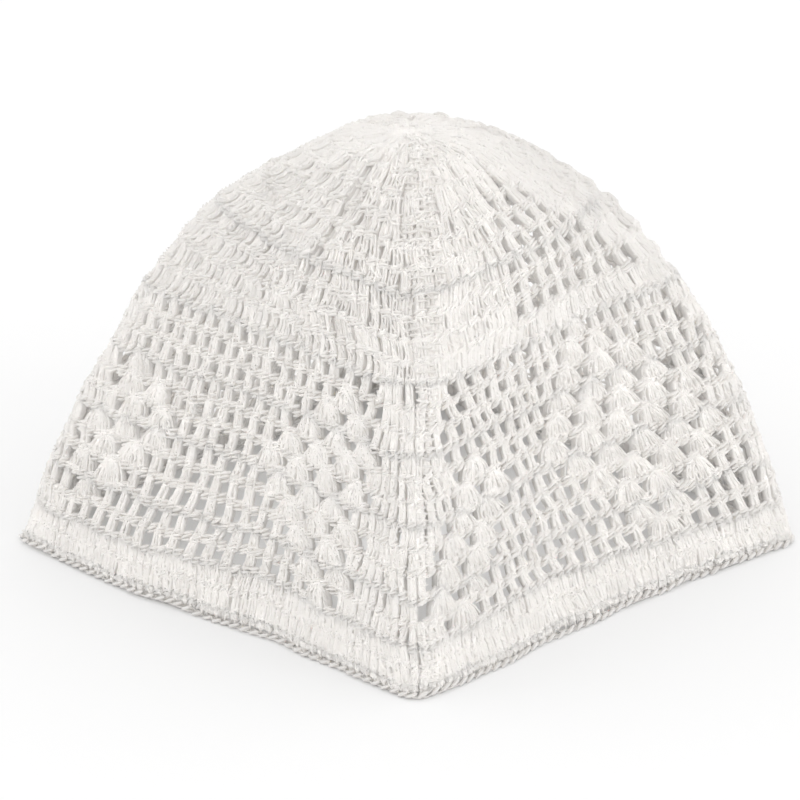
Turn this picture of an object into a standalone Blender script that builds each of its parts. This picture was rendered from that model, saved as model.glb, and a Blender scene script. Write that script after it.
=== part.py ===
"""Crocheted prayer cap, in metres with +Z up.

The cap stands on its rim at z = 0. Its front ridge points to -Y and its right side to +X.
Six flat panels meet at the top, and turn into a tent with four ridges and a square rim.
The cloth is a wall of crochet: a close-worked crown, a band of net, two close rows and an edge.
"""

import bmesh
import bpy
import numpy as np

MM = 0.001

# Sections through the cap, from its top to its rim, in millimetres.
# share: part of the way down, measured over the cloth.
# front: distance of the front and back corners from the axis.
# near_front: corners thirty degrees from front and back.
# left, left_side, right, right_side: corners at sixty and ninety degrees.
# left_ahead, right_ahead: how far a side corner lies in front of the axis.
# lift: rise of the middle of each panel. sway: sideways lean of the front ridge.
SECTION_COLUMNS = (
    "share", "height", "front", "near_front", "left", "left_side", "left_ahead",
    "right", "right_side", "right_ahead", "lift", "sway",
)
SECTIONS = (
    (0.00, 96.0, 0.0, 0.0, 0.0, 0.0, 0.0, 0.0, 0.0, 0.0, 0.0, 0.5),
    (0.10, 95.0, 13.5, 13.5, 13.5, 14.0, 0.0, 14.5, 14.0, 0.0, 0.0, 0.5),
    (0.22, 88.5, 28.0, 29.0, 26.5, 29.5, 0.0, 30.5, 28.5, 0.0, -1.0, 0.0),
    (0.36, 79.0, 46.5, 46.0, 41.0, 46.0, 0.0, 41.5, 45.5, 0.0, -1.0, 0.0),
    (0.50, 62.0, 69.5, 52.5, 49.0, 60.5, 0.0, 47.5, 61.5, 1.0, 1.5, -0.5),
    (0.65, 43.5, 80.0, 54.5, 54.5, 71.5, 0.0, 54.0, 73.0, 3.0, 1.0, -1.0),
    (0.80, 25.0, 88.0, 59.5, 61.5, 81.0, 0.0, 60.0, 80.5, 6.0, 0.0, -1.0),
    (0.90, 11.0, 91.5, 61.0, 68.0, 86.5, 0.0, 64.5, 85.0, 8.0, 1.5, -1.0),
    (1.00, 0.0, 96.0, 67.5, 70.0, 90.5, -0.5, 67.5, 87.5, 9.0, 0.0, -0.5),
)
RIGHT_CORNER = 3
LEFT_CORNER = 9

# Shift to the right that puts the middle of the rim on the axis.
CENTRING = 1.4

# Spread, in degrees, over which a corner is rounded at the top, halfway down and at the rim.
ROUNDING_SHARES = (0.0, 0.45, 1.0)
ROUNDING_DEGREES = (6.0, 4.5, 3.3)

# The cloth. Rows are counted upwards from the rim.
CLOTH_LENGTH = 147.0
ROWS_IN_ALL = 27.3
WALL = 2.4
PIECE_GAP = 0.3
ROW_GROOVE = 0.5

# Heights of the zones, in rows above the rim.
NET_TOP_ROW = 13.6
NET_FOOT_ROW = 2.6
EDGE_TOP_ROW = 0.7
CROWN_ROWS = 12

# The net, one coarse gap for about five real ones at the same open share.
PANELS = 4
NET_COLUMNS = 9
NET_ROWS = 5
RIDGE_HALF = 0.047
ROUND_HALF = 0.024
GAP_WIDTH_SHARE = 0.62
GAP_HEIGHT_SHARE = 0.60

# Diamonds of close shells that stand in the net. centre and half_width are in panels, counted
# from the front ridge to the right, and half_width is the width at the diamond's middle row.
DIAMOND_COLUMNS = ("centre", "half_width")
DIAMONDS = (
    (-0.10, 0.39),
    (0.62, 0.25),
    (1.20, 0.25),
    (1.84, 0.25),
    (2.46, 0.25),
    (3.06, 0.25),
)
DIAMOND_STEP = 0.102

# Turns round the crown, in degrees from the front ridge: the plain panels' repeat, the strips of
# the open wedge at the right, and the slit line along the left front crease.
FACET = 30.0
FACET_STEPS = (0.0, 5.0, 15.0, 25.0)
WEDGE = (25.0, 80.0)
WEDGE_STRIPS = ((29.0, 38.0), (42.0, 51.0), (55.0, 64.0), (68.0, 77.0))
CREASE = 330.0
CREASE_HALF = 3.0

# Crown rows with gaps, counted from the top, and the strips of the wedge that are open there.
# In every second row one gap stands for about four real ones.
CROWN_GAP_COLUMNS = ("row", "strips")
CROWN_GAPS = (
    (3, ()),
    (5, (1,)),
    (7, (0, 1, 2)),
    (9, (0, 1, 2, 3)),
)

# Cross-section of the corded edge: depth below the cloth's face, and part of the way down it.
EDGE_COLUMNS = ("depth", "down")
EDGE_SECTION = (
    (0.3, 0.0),
    (-0.4, 0.3),
    (-0.4, 0.75),
    (0.3, 1.0),
    (2.2, 1.0),
    (2.8, 0.75),
    (2.8, 0.3),
    (2.1, 0.0),
)

COTTON = (0.86, 0.845, 0.80, 1.0)
COTTON_ROUGHNESS = 0.9


def clear_scene():
    for item in list(bpy.data.objects):
        bpy.data.objects.remove(item, do_unlink=True)


def section_column(name):
    place = SECTION_COLUMNS.index(name)
    return np.array([row[place] for row in SECTIONS])


def smooth_through(stations, values, at):
    """Monotone cubic curve through the given values."""
    step = np.diff(stations)
    slope = np.diff(values) / step
    tangent = np.zeros(len(values))
    tangent[0] = slope[0]
    tangent[-1] = slope[-1]
    same_way = slope[:-1] * slope[1:] > 0
    before = 2 * step[1:] + step[:-1]
    after = step[1:] + 2 * step[:-1]
    safe_low = np.where(same_way, slope[:-1], 1.0)
    safe_high = np.where(same_way, slope[1:], 1.0)
    mean = (before + after) / (before / safe_low + after / safe_high)
    tangent[1:-1] = np.where(same_way, mean, 0.0)
    cell = np.clip(np.searchsorted(stations, at, side="right") - 1, 0, len(step) - 1)
    way = (at - stations[cell]) / step[cell]
    low = values[cell]
    high = values[cell + 1]
    low_pull = tangent[cell] * step[cell]
    high_pull = tangent[cell + 1] * step[cell]
    bend = way * way * (3 - 2 * way)
    start = way * (1 - way) ** 2
    finish = way * way * (way - 1)
    return low + (high - low) * bend + low_pull * start + high_pull * finish


def corner_ring(share):
    """Radii of the section's twelve corners, a row for each share."""
    stations = section_column("share")

    def radius(name):
        return smooth_through(stations, section_column(name), share)

    front = radius("front")
    near = radius("near_front")
    right = radius("right")
    left = radius("left")
    right_half = [front, near, right, radius("right_side"), right, near]
    left_half = [front, near, left, radius("left_side"), left, near]
    return np.stack(right_half + left_half, axis=-1)


def sharp_section(radii, ahead, degrees):
    """Points of the straight-sided section, by turn from the front corner."""
    count = radii.shape[-1]
    facet = np.floor(degrees / FACET)
    way = degrees / FACET - facet
    first = facet.astype(int) % count
    second = (first + 1) % count
    rows = np.arange(len(radii))
    low_angle = np.radians(first * FACET)
    high_angle = np.radians(second * FACET)
    low = radii[rows, first] * (1 - way)
    high = radii[rows, second] * way
    across = low * np.sin(low_angle) + high * np.sin(high_angle)
    along = -low * np.cos(low_angle) - high * np.cos(high_angle)
    along -= ahead[rows, first] * (1 - way) + ahead[rows, second] * way
    return across, along


def outer_face(share, degrees):
    """Points on the cap's outer face, in millimetres, for arrays of share and turn."""
    share, degrees = np.broadcast_arrays(np.asarray(share, float), np.asarray(degrees, float))
    shape = share.shape
    share = np.clip(share.ravel(), 0.0, 1.0)
    degrees = degrees.ravel()
    radii = corner_ring(share)
    stations = section_column("share")
    ahead = np.zeros(radii.shape)
    ahead[:, LEFT_CORNER] = smooth_through(stations, section_column("left_ahead"), share)
    ahead[:, RIGHT_CORNER] = smooth_through(stations, section_column("right_ahead"), share)
    spread = np.interp(share, ROUNDING_SHARES, ROUNDING_DEGREES)
    across = np.zeros(len(share))
    along = np.zeros(len(share))
    total = 0.0
    for offset in np.linspace(-2.5, 2.5, 11):
        weight = np.exp(-0.5 * offset * offset)
        x, y = sharp_section(radii, ahead, degrees + offset * spread)
        across += weight * x
        along += weight * y
        total += weight
    angle = np.radians(degrees)
    sway = smooth_through(stations, section_column("sway"), share)
    lift = smooth_through(stations, section_column("lift"), share)
    height = smooth_through(stations, section_column("height"), share)
    x = across / total + sway * np.clip(np.cos(angle), 0.0, 1.0) ** 2 + CENTRING
    y = along / total
    z = height + lift * (1 - np.cos(4 * angle)) / 2
    return np.stack([x, y, z], axis=-1).reshape(shape + (3,))


def outward(share, degrees):
    """Unit normals of the outer face."""
    step_share = 0.004
    step_turn = 1.0
    share = np.clip(share, step_share, 1.0 - step_share)
    down = outer_face(share + step_share, degrees) - outer_face(share - step_share, degrees)
    turn = outer_face(share, degrees + step_turn) - outer_face(share, degrees - step_turn)
    normal = np.cross(down, turn)
    return normal / np.linalg.norm(normal, axis=-1, keepdims=True)


def wall_ring(share, degrees, depth):
    """One ring of points at a depth below the outer face."""
    shares = np.full(len(degrees), share)
    return outer_face(shares, degrees) - depth * outward(shares, degrees)


def row_share(rows_above_rim):
    return 1.0 - rows_above_rim / ROWS_IN_ALL


def cotton_material(name):
    material = bpy.data.materials.new(name)
    material.use_nodes = True
    shader = material.node_tree.nodes["Principled BSDF"]
    shader.inputs["Base Color"].default_value = COTTON
    shader.inputs["Roughness"].default_value = COTTON_ROUGHNESS
    shader.inputs["Metallic"].default_value = 0.0
    material.diffuse_color = COTTON
    return material


def add_ring(mesh, points):
    return [mesh.verts.new([value * MM for value in point]) for point in points]


def join_rings(mesh, upper, lower, skip=()):
    """Quads between two rings, but for the columns to skip."""
    count = len(upper)
    for column in range(count):
        if column in skip:
            continue
        following = (column + 1) % count
        mesh.faces.new((upper[column], lower[column], lower[following], upper[following]))


def line_gap(mesh, outer, inner, level, column, steps, cut):
    """The four sides of one gap through the wall, left out where the next cell is cut too."""
    count = len(inner[0])
    following = (column + 1) % count
    before = (column - 1) % count
    top = level * steps
    foot = top + steps
    if (level - 1, column) not in cut:
        mesh.faces.new((outer[top][column], outer[top][following],
                        inner[level][following], inner[level][column]))
    if (level + 1, column) not in cut:
        mesh.faces.new((outer[foot][following], outer[foot][column],
                        inner[level + 1][column], inner[level + 1][following]))
    if (level, before) not in cut:
        side = [outer[ring][column] for ring in range(foot, top - 1, -1)]
        mesh.faces.new(side + [inner[level][column], inner[level + 1][column]])
    if (level, following) not in cut:
        side = [outer[ring][following] for ring in range(top, foot + 1)]
        mesh.faces.new(side + [inner[level + 1][following], inner[level][following]])


def finish_piece(mesh, name):
    """Turn a bmesh into a smooth-shaded object with a cotton of its own."""
    data = bpy.data.meshes.new(name)
    bmesh.ops.recalc_face_normals(mesh, faces=mesh.faces)
    mesh.to_mesh(data)
    mesh.free()
    data.polygons.foreach_set("use_smooth", [True] * len(data.polygons))
    piece = bpy.data.objects.new(name, data)
    data.materials.append(cotton_material(name + "_cotton"))
    bpy.context.scene.collection.objects.link(piece)
    return piece


def crochet_wall(name, shares, degrees, steps, cut=(), pole=False):
    """A closed wall of cloth between the first and the last share.

    steps is the number of outer rings to one inner ring. With two, every second outer ring lies
    in a groove. cut holds the (level, column) cells that are cut through. pole closes the top.
    """
    mesh = bmesh.new()
    outer = []
    inner = []
    for level, share in enumerate(shares):
        outer.append(add_ring(mesh, wall_ring(share, degrees, 0.0)))
        inner.append(add_ring(mesh, wall_ring(share, degrees, WALL)))
        if steps == 2 and level + 1 < len(shares):
            middle = (share + shares[level + 1]) / 2
            outer.append(add_ring(mesh, wall_ring(middle, degrees, ROW_GROOVE)))
    for ring in range(len(outer) - 1):
        skip = [column for level, column in cut if level == ring // steps]
        join_rings(mesh, outer[ring], outer[ring + 1], skip)
    for level in range(len(inner) - 1):
        skip = [column for row, column in cut if row == level]
        join_rings(mesh, inner[level], inner[level + 1], skip)
    for level, column in cut:
        line_gap(mesh, outer, inner, level, column, steps, cut)
    join_rings(mesh, outer[-1], inner[-1])
    if pole:
        close_top(mesh, outer[0], 0.0)
        close_top(mesh, inner[0], WALL)
    else:
        join_rings(mesh, inner[0], outer[0])
    return finish_piece(mesh, name)


def close_top(mesh, ring, depth):
    """Fan of triangles from a ring to a point on the axis."""
    top = SECTIONS[0][SECTION_COLUMNS.index("height")]
    centre = mesh.verts.new((CENTRING * MM, 0.0, (top - depth) * MM))
    for column, corner in enumerate(ring):
        following = ring[(column + 1) % len(ring)]
        mesh.faces.new((centre, corner, following))


def crown_turns():
    """Columns of the crown: even on plain panels, strips and bars in the open wedge."""
    turns = {facet * FACET + step for facet in range(12) for step in FACET_STEPS}
    turns = {turn for turn in turns if not WEDGE[0] < turn < WEDGE[1]}
    for start, end in WEDGE_STRIPS:
        turns |= {start, end}
    turns = {turn for turn in turns if abs(turn - CREASE) > 2 * CREASE_HALF}
    turns |= {CREASE - CREASE_HALF, CREASE, CREASE + CREASE_HALF}
    return np.array(sorted(turns))


def build_crown():
    degrees = crown_turns()
    columns = {turn: column for column, turn in enumerate(degrees.tolist())}
    row_height = (ROWS_IN_ALL - NET_TOP_ROW) / CROWN_ROWS
    rows_up = [ROWS_IN_ALL - row_height * (row + 1) for row in range(CROWN_ROWS)]
    rows_up[-1] += PIECE_GAP / 2 * ROWS_IN_ALL / CLOTH_LENGTH
    cut = set()
    for row, strips in CROWN_GAPS:
        level = row - 1
        cut |= {(level, columns[CREASE - CREASE_HALF]), (level, columns[CREASE])}
        cut |= {(level, columns[WEDGE_STRIPS[strip][0]]) for strip in strips}
    shares = [row_share(rows) for rows in rows_up]
    return crochet_wall("crown", shares, degrees, 2, cut, pole=True)


def net_turns():
    """Columns of the band in panels, and the start of each gap column."""
    turns = []
    gap_starts = []
    pitch = (1 - 2 * RIDGE_HALF) / NET_COLUMNS
    bar = pitch * (1 - GAP_WIDTH_SHARE) / 2
    for panel in range(PANELS):
        turns += [panel, panel + ROUND_HALF]
        for column in range(NET_COLUMNS):
            left = panel + RIDGE_HALF + column * pitch
            gap_starts.append(len(turns))
            turns += [left + bar, left + pitch - bar]
        turns.append(panel + 1 - ROUND_HALF)
    return np.array(turns), gap_starts


def in_diamond(turn, row):
    """Whether a gap at this turn and row would fall in a diamond of close shells."""
    half_rows = (NET_ROWS - 1) / 2
    for centre, half_width in DIAMONDS:
        offset = abs((turn - centre + PANELS / 2) % PANELS - PANELS / 2)
        if offset < half_width - DIAMOND_STEP * abs(row - half_rows):
            return True
    return False


def build_openwork_band():
    turns, gap_starts = net_turns()
    gap = PIECE_GAP / 2 * ROWS_IN_ALL / CLOTH_LENGTH
    pitch = (NET_TOP_ROW - NET_FOOT_ROW) / NET_ROWS
    bar = pitch * (1 - GAP_HEIGHT_SHARE) / 2
    rows_up = [NET_TOP_ROW - gap]
    for row in range(NET_ROWS):
        top = NET_TOP_ROW - row * pitch
        rows_up += [top - bar, top - pitch + bar]
    rows_up.append(NET_FOOT_ROW + gap)
    cut = set()
    for row in range(NET_ROWS):
        for column in gap_starts:
            middle = (turns[column] + turns[column + 1]) / 2
            if not in_diamond(middle, row):
                cut.add((2 * row + 1, column))
    shares = [row_share(rows) for rows in rows_up]
    return crochet_wall("openwork_band", shares, turns * 360 / PANELS, 1, cut)


def rim_turns():
    return np.array([facet * FACET + step for facet in range(12) for step in FACET_STEPS])


def build_rim_band():
    gap = PIECE_GAP / 2 * ROWS_IN_ALL / CLOTH_LENGTH
    middle = (NET_FOOT_ROW + EDGE_TOP_ROW) / 2
    shares = [row_share(rows) for rows in (NET_FOOT_ROW - gap, middle, EDGE_TOP_ROW + gap)]
    return crochet_wall("rim_band", shares, rim_turns(), 2)


def build_rim_edge():
    """The corded edge, with a flat foot in the plane that the cap rests on."""
    degrees = rim_turns()
    gap = PIECE_GAP / 2 * ROWS_IN_ALL / CLOTH_LENGTH
    top_share = row_share(EDGE_TOP_ROW - gap)
    mesh = bmesh.new()
    rings = []
    for depth, down in EDGE_SECTION:
        points = wall_ring(top_share + (1 - top_share) * down, degrees, depth)
        foot = 0.0 if down == 1.0 else points[:, 2]
        points[:, 2] = np.maximum(foot, 0.0)
        rings.append(add_ring(mesh, points))
    for index, ring in enumerate(rings):
        join_rings(mesh, ring, rings[(index + 1) % len(rings)])
    return finish_piece(mesh, "rim_edge")


def main():
    clear_scene()
    build_crown()
    build_openwork_band()
    build_rim_band()
    build_rim_edge()


main()
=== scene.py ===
"""Looks of a crocheted prayer cap: every stitch is modelled as yarn, on the cap's own surface.

The cap is worked from its top down to its rim in rounds of double crochet. Zones of close
stitches, a net of single posts, and fans of five posts that share one foot follow the
photograph. All lengths are in millimetres until a mesh is made.
"""

import math

import bpy
import numpy as np
from mathutils import Matrix, Vector


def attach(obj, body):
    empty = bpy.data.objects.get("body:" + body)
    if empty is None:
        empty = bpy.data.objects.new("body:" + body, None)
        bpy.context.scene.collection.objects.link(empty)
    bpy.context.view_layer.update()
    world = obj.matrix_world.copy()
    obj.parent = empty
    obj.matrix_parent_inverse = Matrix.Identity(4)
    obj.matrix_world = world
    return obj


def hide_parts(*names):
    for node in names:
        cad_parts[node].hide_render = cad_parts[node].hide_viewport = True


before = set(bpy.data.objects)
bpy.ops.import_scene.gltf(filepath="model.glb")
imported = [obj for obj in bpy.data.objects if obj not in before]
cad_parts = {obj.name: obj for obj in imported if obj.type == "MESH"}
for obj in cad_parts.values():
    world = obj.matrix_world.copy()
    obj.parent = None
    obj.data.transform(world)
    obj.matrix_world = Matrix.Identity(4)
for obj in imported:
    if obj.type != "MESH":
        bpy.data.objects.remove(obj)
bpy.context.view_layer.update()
MM = 0.001
TINY = 1e-9

# Sections through the cap, from its top down to its rim, as in the part's source.
# share: part of the way down, measured over the cloth.
# front: distance of the front and back corners from the axis.
# near_front: corners thirty degrees from front and back.
# left, left_side, right, right_side: corners at sixty and ninety degrees.
# left_ahead, right_ahead: how far a side corner lies in front of the axis.
# lift: rise of the middle of each panel. sway: sideways lean of the front ridge.
SECTION_COLUMNS = (
    "share", "height", "front", "near_front", "left", "left_side", "left_ahead",
    "right", "right_side", "right_ahead", "lift", "sway",
)
SECTIONS = (
    (0.00, 96.0, 0.0, 0.0, 0.0, 0.0, 0.0, 0.0, 0.0, 0.0, 0.0, 0.5),
    (0.10, 95.0, 13.5, 13.5, 13.5, 14.0, 0.0, 14.5, 14.0, 0.0, 0.0, 0.5),
    (0.22, 88.5, 28.0, 29.0, 26.5, 29.5, 0.0, 30.5, 28.5, 0.0, -1.0, 0.0),
    (0.36, 79.0, 46.5, 46.0, 41.0, 46.0, 0.0, 41.5, 45.5, 0.0, -1.0, 0.0),
    (0.50, 62.0, 69.5, 52.5, 49.0, 60.5, 0.0, 47.5, 61.5, 1.0, 1.5, -0.5),
    (0.65, 43.5, 80.0, 54.5, 54.5, 71.5, 0.0, 54.0, 73.0, 3.0, 1.0, -1.0),
    (0.80, 25.0, 88.0, 59.5, 61.5, 81.0, 0.0, 60.0, 80.5, 6.0, 0.0, -1.0),
    (0.90, 11.0, 91.5, 61.0, 68.0, 86.5, 0.0, 64.5, 85.0, 8.0, 1.5, -1.0),
    (1.00, 0.0, 96.0, 67.5, 70.0, 90.5, -0.5, 67.5, 87.5, 9.0, 0.0, -0.5),
)
RIGHT_CORNER = 3
LEFT_CORNER = 9

# Shift to the right that puts the middle of the rim on the axis.
CENTRING = 1.4

# How far the section's corners are rounded, in degrees, by share. Each point is the mean of
# points at these offsets, in roundings, weighed by a bell curve.
ROUNDING_SHARES = (0.0, 0.45, 1.0)
ROUNDING_DEGREES = (6.0, 4.5, 3.3)
ROUNDING_OFFSETS = np.linspace(-2.5, 2.5, 11)
FACET = 30.0

# Rows of work, counted upwards from the rim.
ROWS_IN_ALL = 27.3
NET_TOP_ROW = 13.6
NET_FOOT_ROW = 2.6
EDGE_TOP_ROW = 0.7
EDGE_FOOT_ROW = 0.46
CROWN_ROUNDS = 12
NET_ROUNDS = 11
RIM_ROUNDS = 2

# Yarn. A strand is a tube with so many sides. Its radius varies by so much.
SIDES = 3
PLY_LENGTH = 2.4
RADIUS_RANGE = (0.88, 1.12)

# Stitches. A post is a bundle of strands, some in front and thicker ones behind, and it reaches
# a little past its round. The places of its strands are shares of half its width. The last
# place of close stitches fills the gap to the next post, and sinks where the posts stand out.
STITCH = 2.42
LEAST_RUN = 0.6
POST_STEPS = 5
POST_REACH = 0.08
POST_STRAND = 0.48
POST_TAPER = 0.55
POST_FRONTS = (-1.0, 0.0, 1.0)
POST_BACKS = (-0.6, 0.6)
CLOSE_BACKS = (-1.0, 1.0, 2.5)
FILLER_SINK = 0.7
FRONT_DEPTH = 0.80
BACK_DEPTH = 1.32
OUTER_SINK = 0.12
BACK_STRAND = 0.70
BACK_WIDTH = 0.66
BACK_SPREAD = (0.6, 1.0)

# Half the width between a post's outer strands. Close stitches: where they lie flat, and where
# they stand out. Single posts and fans: at the top and at the foot.
CLOSE_WIDTHS = (0.80, 0.62)
CLOSE_FLARE = 1.04
SINGLE_WIDTHS = (0.72, 1.10)
FAN_WIDTHS = (1.15, 4.0)

# A fan of five posts bows out, swells forward and hangs down in the middle. Its widths are those
# of a fan that is as wide as two steps of the net in its first round.
FAN_SIZE_STEPS = 2.0
FAN_STRAND = 0.40
FAN_FRONTS = np.linspace(-1.0, 1.0, 11)
FAN_BACKS = np.linspace(-1.0, 1.0, 5)
FAN_LINKS = 4
FAN_BOW = 0.14
FAN_SWELL = 0.55
FAN_SCALLOP = 0.45

# How uneven the posts and their strands are.
POST_LEAN = 0.20
POST_CURVE = 0.12
POST_ASIDE = 0.08
POST_DEPTH = 0.07
WIDTH_RANGE = (0.90, 1.14)
STRAND_ASIDE = 0.06
STRAND_CURVE = 0.08
STRAND_DEPTH = 0.06

# Short strands that lie on the front of each post, a little aslant, at these heights in a
# round and these shares of half the width.
TURN_HEIGHTS = (0.17, 0.50, 0.83)
POST_TURNS = (0.45,)
FAN_TURNS = (-0.84, -0.42, 0.0, 0.42, 0.84)
TURN_STEPS = 3
TURN_STRAND = 0.38
TURN_TAPER = 0.6
TURN_LENGTH = 1.00
ROW_LENGTH = 5.4
TURN_SLANT = 0.48
TURN_RISE = 0.36
TURN_BEND = 0.30
TURN_HEIGHT_JITTER = 0.05
TURN_LENGTH_RANGE = (0.85, 1.15)
TURN_SLANT_MIDDLE = 0.6
TURN_SLANT_SPREAD = 0.6
TURN_ASIDE = 0.08
TURN_DEPTH = 0.06

# Short strands that run across the crest of a ridge: reach from it, and heights in a round.
CREST_STRAND_REACH = (-0.6, 5.5)
CREST_STRAND_HEIGHTS = (0.15, 0.48, 0.80)
CREST_STRAND = 0.40
CREST_STRAND_TAPER = 0.7
CREST_STRAND_LENGTH = 0.55
CREST_STRAND_RISE = 0.36
CREST_HEIGHT_JITTER = 0.04
CREST_LENGTH_RANGE = (0.9, 1.2)
CREST_DROP_RANGE = (-0.1, 0.5)
CREST_DEPTH_JITTER = 0.06

# How strongly the stitches of a zone stand out, from nought to one. In the crown it goes by the
# degrees from the nearer ridge, and the left side of a ridge shows each post. Towards the top
# the crown lies flatter and its posts are wider.
RELIEF_LIMITS = (0.25, 1.0)
CROWN_RELIEF_TURNS = (-90.0, -70.0, -4.0, 2.0, 12.0, 22.0, 60.0, 90.0)
CROWN_RELIEF = (0.8, 0.95, 0.75, 0.35, 0.30, 0.45, 0.55, 0.8)
FLAT_ROWS = (21.5, 26.0)
FLAT_SHARE = 0.2
SLIM_ROWS = (17.0, 22.0)
SLIM_LIMITS = (0.9, 0.4)
NET_RELIEF = 1.0
RIM_RELIEF = 0.4

# How far the middle of a post lies behind its ends, at full relief.
CROWN_RIB = 0.85
NET_RIB = 0.15

# How the chain's loops climb, as a share of each loop's tilt.
CLOSE_SLOPE = -0.9
GAP_SLOPE = -0.60

# The crown. Rounds are counted from the top. gaps along the front left crease, and the wedge of
# net at the right front: its gaps in a round lie evenly between two turns, in degrees.
CREASE_TURN = -31.5
CREASE_ROUNDS = range(4, 11)
# Columns: round, gaps, first turn, last turn.
WEDGE = (
    (5, 1, 47.0, 47.0),
    (6, 3, 37.5, 53.5),
    (7, 4, 32.5, 57.0),
    (8, 5, 29.0, 61.0),
    (9, 6, 28.0, 65.0),
    (10, 7, 28.0, 71.0),
    (11, 8, 28.0, 78.0),
)
CROWN_GAP = 1.9
CREASE_GAP = 1.5
SINGLE_POST_LIMIT = 3.2

# The net. Each round is charted outwards from the front ridge, to the left and to the right.
# start is the first gap's distance from the ridge. In a chart a dot is one post to the next gap
# and a V is one fan. The back of the cap is the front turned half round.
# Columns: left start, left chart, right start, right chart.
NET = (
    (11.7, "................", 10.9, "........V......"),
    (10.0, ".V..............", 9.0, "........VV....."),
    (12.5, "VV............V.", 8.4, "........VVV...."),
    (10.0, "VVV..........V..", 10.7, ".......VVVV...."),
    (16.5, "VVV.......VVV...", 13.5, "V....VVVVV....."),
    (14.0, "VVVV.....VVVV...", 11.5, "VV..VVVVVVV...."),
    (20.5, "VVV......VVV....", 9.0, "VV....VVVVV...."),
    (17.0, "VVV........VV...", 6.5, "VV......VVVV..."),
    (23.2, "VV..........VV..", 4.5, "VV........VVV..."),
    (20.3, "VV............V.", 2.5, "VV.........VV......"),
    (27.0, "V..............", 9.8, "V...........V......."),
)
STEP_TOP = 4.5
STEP_GROWTH = 0.04
LEFT_FAN_STEPS = 2.0
RIGHT_FAN_STEPS = 2.2
LEFT_LEAN = 1.8
RIGHT_LEAN = 2.5
NET_GAP = 2.3
RIDGE_FADE = 14.0
RIDGE_MARGIN = 5.0

# Near the front and back ridges the crown's rounds hang lower than beside them, by so many rows.
# Columns: row, sag.
SAG = (
    (13.6, 0.0),
    (14.7, 0.35),
    (15.9, 0.80),
    (17.0, 1.15),
    (18.2, 1.45),
    (19.3, 1.60),
    (20.5, 1.55),
    (21.6, 1.25),
    (22.7, 0.90),
    (23.9, 0.60),
    (26.2, 0.05),
    (27.3, 0.0),
)
SAG_DEGREES = 36.0

# The crest of the front and back ridges stands proud, and its left side is the steeper one.
CREST_RISE = 1.1
CREST_STEP = 1.6
CREST_FADE = 7.0
CREST_ROWS = (12.0, 14.0, 20.5, 24.0)
FADE_IN_AND_OUT = (0.0, 1.0, 1.0, 0.0)

# The front left crease is a shallow valley.
CREASE_DEPTH = 0.8
CREASE_WIDTH = 2.6
CREASE_ROWS = (13.6, 15.5, 23.0, 25.0)

# Uneven hand tension: waves over the cloth, with so many laps round it and turns a row.
STRAY_WAVES = 12
STRAY_LAPS = (6, 38)
STRAY_TURNS = 2.6
STRAY_ALONG = 0.25
STRAY_DEPTH = 0.20

rng = np.random.default_rng(27)


def section_column(name):
    place = SECTION_COLUMNS.index(name)
    return np.array([row[place] for row in SECTIONS])


def smooth_through(stations, values, at):
    """Monotone cubic curve through the given values."""
    step = np.diff(stations)
    slope = np.diff(values) / step
    tangent = np.zeros(len(values))
    tangent[0] = slope[0]
    tangent[-1] = slope[-1]
    same_way = slope[:-1] * slope[1:] > 0
    before = 2 * step[1:] + step[:-1]
    after = step[1:] + 2 * step[:-1]
    safe_low = np.where(same_way, slope[:-1], 1.0)
    safe_high = np.where(same_way, slope[1:], 1.0)
    mean = (before + after) / (before / safe_low + after / safe_high)
    tangent[1:-1] = np.where(same_way, mean, 0.0)
    cell = np.clip(np.searchsorted(stations, at, side="right") - 1, 0, len(step) - 1)
    way = (at - stations[cell]) / step[cell]
    low_pull = tangent[cell] * step[cell]
    high_pull = tangent[cell + 1] * step[cell]
    bend = way * way * (3 - 2 * way)
    rise = values[cell + 1] - values[cell]
    low_part = low_pull * way * (1 - way) ** 2
    high_part = high_pull * way * way * (way - 1)
    return values[cell] + rise * bend + low_part + high_part


def corner_ring(share):
    """Radii of the section's twelve corners, a row for each share."""
    stations = section_column("share")

    def radius(name):
        return smooth_through(stations, section_column(name), share)

    front = radius("front")
    near = radius("near_front")
    right = radius("right")
    left = radius("left")
    right_half = [front, near, right, radius("right_side"), right, near]
    left_half = [front, near, left, radius("left_side"), left, near]
    return np.stack(right_half + left_half, axis=-1)


def sharp_section(radii, ahead, degrees):
    """Points of the straight-sided section, by turn from the front corner."""
    count = radii.shape[-1]
    facet = np.floor(degrees / FACET)
    way = degrees / FACET - facet
    first = facet.astype(int) % count
    second = (first + 1) % count
    rows = np.arange(len(radii))
    low = radii[rows, first] * (1 - way)
    high = radii[rows, second] * way
    low_angle = np.radians(first * FACET)
    high_angle = np.radians(second * FACET)
    across = low * np.sin(low_angle) + high * np.sin(high_angle)
    along = -low * np.cos(low_angle) - high * np.cos(high_angle)
    along -= ahead[rows, first] * (1 - way) + ahead[rows, second] * way
    return across, along


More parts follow.
